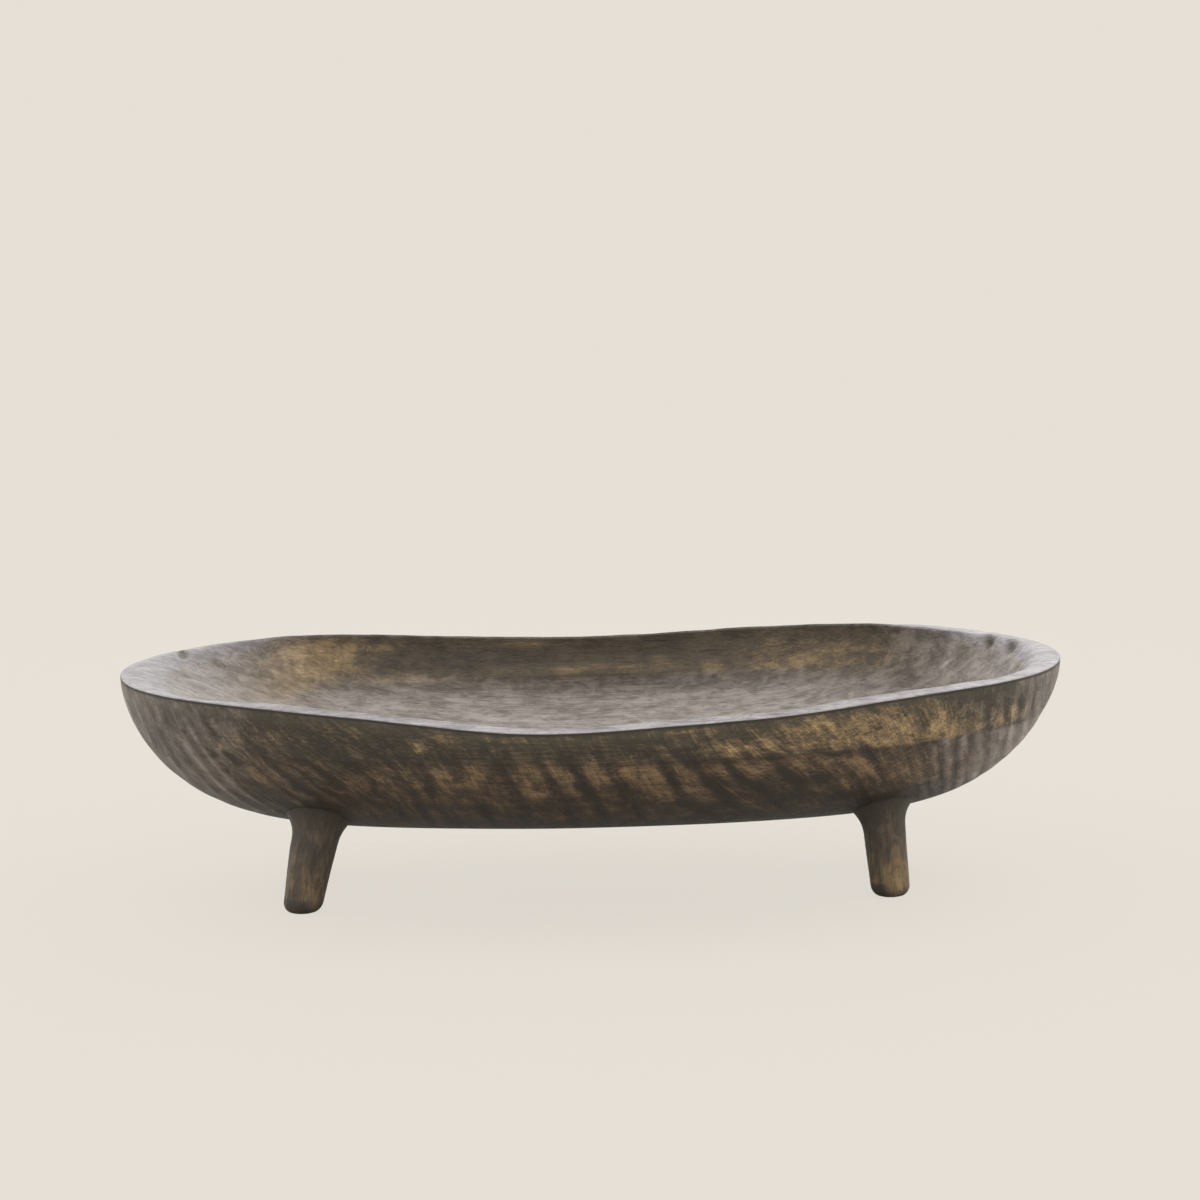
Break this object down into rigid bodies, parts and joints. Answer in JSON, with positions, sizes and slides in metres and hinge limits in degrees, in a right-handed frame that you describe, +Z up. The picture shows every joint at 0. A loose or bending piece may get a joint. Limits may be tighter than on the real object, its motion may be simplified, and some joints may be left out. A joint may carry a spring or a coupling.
{
  "type": "footed dish",
  "caption": "Long shallow oval wooden dish, carved from a glued blank of boards, with a flat rim that dips at mid-length, on short round splayed legs.",
  "frame": {"origin": "on the ground under the middle of the dish: the bottom centre of its bounding box, level with the soles of the feet", "axes": "+X along the length towards the right end of the picture, +Y away from the picture's camera across the width, +Z up"},
  "size_m": [0.6, 0.3, 0.1458],
  "materials": {
    "top_boards": "hand-carved, dark stained and waxed, satin",
    "middle_boards": "hand-carved, dark stained and waxed, satin",
    "bottom_boards": "hand-carved, dark stained and waxed, satin",
    "legs": "turned and filed by hand, dark stained and waxed, satin",
    "dowels": "bare beech, glued"
  },
  "bodies": {
    "root": {"top_board_front_left": "top_boards", "top_board_front_right": "top_boards", "top_board_back_left": "top_boards", "top_board_back_right": "top_boards", "middle_board_front_left": "middle_boards", "middle_board_front_centre": "middle_boards", "middle_board_front_right": "middle_boards", "middle_board_back_left": "middle_boards", "middle_board_back_centre": "middle_boards", "middle_board_back_right": "middle_boards", "bottom_board_front_left": "bottom_boards", "bottom_board_front_right": "bottom_boards", "bottom_board_back_left": "bottom_boards", "bottom_board_back_right": "bottom_boards", "leg_front_left": "legs", "leg_front_right": "legs", "leg_back_left": "legs", "leg_back_right": "legs", "leg_dowel_front_left": "dowels", "leg_dowel_front_right": "dowels", "leg_dowel_back_left": "dowels", "leg_dowel_back_right": "dowels"}
  },
  "joints": []
}
